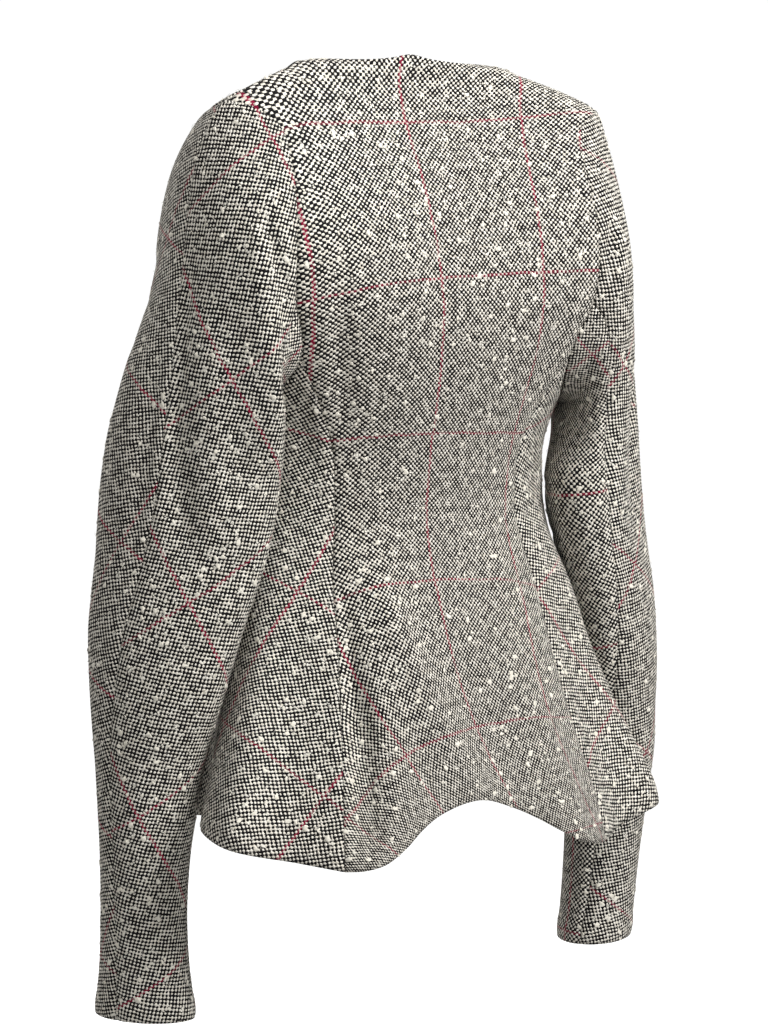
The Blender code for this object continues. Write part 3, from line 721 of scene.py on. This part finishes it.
# points spread over a surface, each with a small piece turned at random on it; shape builds that piece
def scatterTree(name, shape):
    tree = bpy.data.node_groups.new(name, "GeometryNodeTree")
    groupSocket(tree, "Cloth", "NodeSocketGeometry")
    groupSocket(tree, "Density", "NodeSocketFloat", default=1000.0)
    groupSocket(tree, "Smallest", "NodeSocketFloat", default=0.5)
    groupSocket(tree, "Largest", "NodeSocketFloat", default=1.3)
    groupSocket(tree, "Seed", "NodeSocketInt", default=0)
    groupSocket(tree, "Material", "NodeSocketMaterial")
    groupSocket(tree, "Pieces", "NodeSocketGeometry", output=True)
    g = Graph(tree)
    given = g.node("NodeGroupInput").outputs
    clump = g.node("ShaderNodeTexNoise", {"Scale": 45.0, "Detail": 2.0})
    density = g.math("MULTIPLY", given["Density"], g.math("MULTIPLY_ADD", clump.outputs[0], 3.6, -0.8))
    spreading = {"Mesh": given["Cloth"], "Density": density, "Seed": given["Seed"]}
    spread = g.node("GeometryNodeDistributePointsOnFaces", spreading)
    turning = {"Min": (-0.25, -0.25, 0.0), "Max": (0.25, 0.25, 6.283), "Seed": given["Seed"]}
    turn = g.node("FunctionNodeRandomValue", turning, data_type="FLOAT_VECTOR")
    facings = {"Rotation": spread.outputs["Rotation"], "Rotate By": turn.outputs[0]}
    facing = g.node("FunctionNodeRotateRotation", facings, rotation_space="LOCAL")
    chance = g.node("FunctionNodeRandomValue", {2: 0.0, 3: 1.0, "Seed": given["Seed"]}, data_type="FLOAT")
    room = g.math("SUBTRACT", given["Largest"], given["Smallest"])
    size = g.math("MULTIPLY_ADD", g.math("POWER", chance.outputs[1], 1.7), room, given["Smallest"])
    placing = {
        "Points": spread.outputs["Points"],
        "Instance": shape(g),
        "Rotation": facing.outputs[0],
        "Scale": size,
    }
    placed = g.node("GeometryNodeInstanceOnPoints", placing)
    real = g.node("GeometryNodeRealizeInstances", {"Geometry": placed.outputs[0]})
    rough = g.node("ShaderNodeTexNoise", {"Scale": 700.0, "Detail": 1.0})
    centring = {0: rough.outputs["Color"], 1: (0.5, 0.5, 0.5)}
    centred = g.node("ShaderNodeVectorMath", centring, operation="SUBTRACT")
    jitter = g.node("ShaderNodeVectorMath", {0: centred.outputs[0], "Scale": 0.0019}, operation="SCALE")
    moved = g.node("GeometryNodeSetPosition", {"Geometry": real.outputs[0], "Offset": jitter.outputs[0]})
    smooth = g.node("GeometryNodeSetShadeSmooth", {"Geometry": moved.outputs[0]})
    painting = {"Geometry": smooth.outputs[0], "Material": given["Material"]}
    painted = g.node("GeometryNodeSetMaterial", painting)
    g.node("NodeGroupOutput", {"Pieces": painted.outputs[0]})
    return tree


def nubShape(g):
    ball = g.node("GeometryNodeMeshIcoSphere", {"Radius": 1.0, "Subdivisions": 2})
    return g.node("GeometryNodeTransform", {"Geometry": ball.outputs[0], "Scale": slubs["size"]}).outputs[0]


def fibreShape(g):
    length = fibres["length"]
    bending = {
        "Resolution": 3,
        "Start": (-length / 2, 0.0, 0.0),
        "Middle": (-length * 0.1, length * 0.25, length * 0.42),
        "End": (length / 2, -length * 0.1, length * 0.10),
    }
    bend = g.node("GeometryNodeCurveQuadraticBezier", bending)
    ring = g.node("GeometryNodeCurvePrimitiveCircle", {"Resolution": 3, "Radius": fibres["radius"]})
    sweep = {"Curve": bend.outputs[0], "Profile Curve": ring.outputs[0], "Fill Caps": True}
    return g.node("GeometryNodeCurveToMesh", sweep).outputs[0]


# runs a scatter over the outer sides of the named panels and gives the result as one plain mesh
def scattered(name, tree, names, values, material):
    points = []
    faces = []
    count = 0
    for panel in names:
        points.append(pieces[panel]["points"])
        faces.append(pieces[panel]["faces"] + count)
        count += len(points[-1])
    source = newMesh(name + " source", np.concatenate(points), np.concatenate(faces))
    modifier = source.modifiers.new("scatter", "NODES")
    modifier.node_group = tree
    for item in tree.interface.items_tree:
        if item.in_out == "INPUT" and item.name in values:
            modifier[item.identifier] = values[item.name]
        if item.name == "Material":
            modifier[item.identifier] = material
    source.update_tag()
    bpy.context.view_layer.update()
    mesh = bpy.data.meshes.new_from_object(source.evaluated_get(bpy.context.evaluated_depsgraph_get()))
    source.modifiers.remove(modifier)
    bpy.data.objects.remove(source)
    mesh.name = name
    thing = bpy.data.objects.new(name, mesh)
    bpy.context.scene.collection.objects.link(thing)
    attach(thing, "root")
    print(name, len(mesh.polygons), "faces")
    return thing


def woolMaterial(name, pale, deep, scale):
    material = bpy.data.materials.new(name)
    material.use_nodes = True
    g = Graph(material.node_tree)
    shader = material.node_tree.nodes["Principled BSDF"]
    place = g.node("ShaderNodeTexCoord")
    fine = {"Vector": place.outputs["Object"], "Scale": scale, "Detail": 3.0, "Roughness": 0.7}
    wisps = g.node("ShaderNodeTexNoise", fine)
    g.feed(shader.inputs["Base Color"], g.mix(wisps.outputs[0], deep, pale))
    bump = g.node("ShaderNodeBump", {"Height": wisps.outputs[0], "Strength": 0.9, "Distance": 0.0005})
    g.feed(shader.inputs["Normal"], bump.outputs[0])
    shader.inputs["Roughness"].default_value = 0.97
    shader.inputs["Specular IOR Level"].default_value = 0.1
    shader.inputs["Sheen Weight"].default_value = 0.12
    shader.inputs["Sheen Roughness"].default_value = 0.6
    return material


bodyNames = [name for name in panels if not name.startswith("sleeve")]
sleeveNames = [name for name in panels if name.startswith("sleeve")]
nubMaterial = woolMaterial("slub wool", slubs["pale"], slubs["deep"], 900.0)
fibreMaterial = woolMaterial("loose wool", fibres["pale"], fibres["deep"], 120.0)
nubTree = scatterTree("slub nubs", nubShape)
fibreTree = scatterTree("loose fibres", fibreShape)
for name, names in (("body", bodyNames), ("sleeves", sleeveNames)):
    values = {"Smallest": slubs["smallest"], "Largest": slubs["largest"]}
    values["Density"] = slubs[name]["density"]
    values["Seed"] = slubs[name]["seed"]
    scattered("nubs_" + name, nubTree, names, values, nubMaterial)
values = {"Density": fibres["density"], "Seed": fibres["seed"]}
scattered("loose_fibres", fibreTree, list(panels), values, fibreMaterial)


# the studio, in metres and watts: lights by how far right of the garment, towards the camera and up
studio = {
    "floorHeight": -1.3,
    "floorReach": 6,
    "floorShade": (0.50, 0.50, 0.50, 1),
    "ambient": 0.15,
    "paper": 1.02,  # brightness of the surroundings as seen
    "lights": (
        {"name": "key", "right": 1.55, "back": 1.05, "up": 1.40, "size": 0.9, "power": 73},
        {"name": "top", "right": -0.70, "back": 0.90, "up": 2.10, "size": 1.2, "power": 16},
        {"name": "fill", "right": -0.30, "back": 2.60, "up": 0.90, "size": 1.8, "power": 16},
        {"name": "front", "right": 0.90, "back": -2.20, "up": 1.30, "size": 1.6, "power": 55},
        {"name": "side", "right": -1.50, "back": -1.80, "up": 1.00, "size": 1.6, "power": 38},
    ),
}
view = {
    "turn": 150,
    "tilt": 5,
    "distance": 2.3,
    "target": (-0.005, 0.003, -0.353),
    "lens": 101.1,
    "sensor": 36,
}

# plain pale floor and surroundings, both seen as white paper
reach = studio["floorReach"]
height = studio["floorHeight"]
floorCorners = np.array([(x * reach, y * reach, height) for x, y in ((-1, -1), (1, -1), (1, 1), (-1, 1))])
floor = newMesh("floor", floorCorners, np.array([[0, 1, 2, 3]]), smooth=False)
paper = bpy.data.materials.new("floor pale")
paper.use_nodes = True
g = Graph(paper.node_tree)
seen = g.node("ShaderNodeLightPath")
shader = paper.node_tree.nodes["Principled BSDF"]
shader.inputs["Base Color"].default_value = studio["floorShade"]
shader.inputs["Emission Color"].default_value = (1, 1, 1, 1)
g.feed(shader.inputs["Emission Strength"], seen.outputs["Is Camera Ray"])
floor.data.materials.append(paper)

world = bpy.data.worlds.new("studio")
bpy.context.scene.world = world
world.use_nodes = True
g = Graph(world.node_tree)
seen = g.node("ShaderNodeLightPath")
plain = world.node_tree.nodes["Background"]
plain.inputs["Color"].default_value = (1, 1, 1, 1)
glow = studio["paper"] - studio["ambient"]
strength = g.math("MULTIPLY_ADD", seen.outputs["Is Camera Ray"], glow, studio["ambient"])
g.feed(plain.inputs["Strength"], strength)
bpy.context.scene.view_settings.view_transform = "Standard"


def softLight(name, place, target, size, power):
    lamp = bpy.data.lights.new(name, "AREA")
    lamp.shape = "RECTANGLE"
    lamp.size = size
    lamp.size_y = size
    lamp.energy = power
    thing = bpy.data.objects.new(name, lamp)
    bpy.context.scene.collection.objects.link(thing)
    thing.location = place
    thing.rotation_euler = (Vector(target) - Vector(place)).to_track_quat("-Z", "Y").to_euler()


turn = math.radians(view["turn"])
tilt = math.radians(view["tilt"])
back = Vector((math.sin(turn) * math.cos(tilt), -math.cos(turn) * math.cos(tilt), math.sin(tilt)))
right = Vector((math.cos(turn), math.sin(turn), 0))
target = Vector(view["target"])
upper = target + Vector((0, 0, 0.15))
for light in studio["lights"]:
    place = target + right * light["right"] + back * light["back"] + Vector((0, 0, light["up"]))
    softLight(light["name"], place, upper, light["size"], light["power"])
print("studio lit")

camera = bpy.data.objects.new("camera", bpy.data.cameras.new("camera"))
bpy.context.scene.collection.objects.link(camera)
camera.location = target + back * view["distance"]
camera.rotation_euler = (-back).to_track_quat("-Z", "Y").to_euler()
camera.data.sensor_width = view["sensor"]
camera.data.lens = view["lens"]
bpy.context.scene.camera = camera
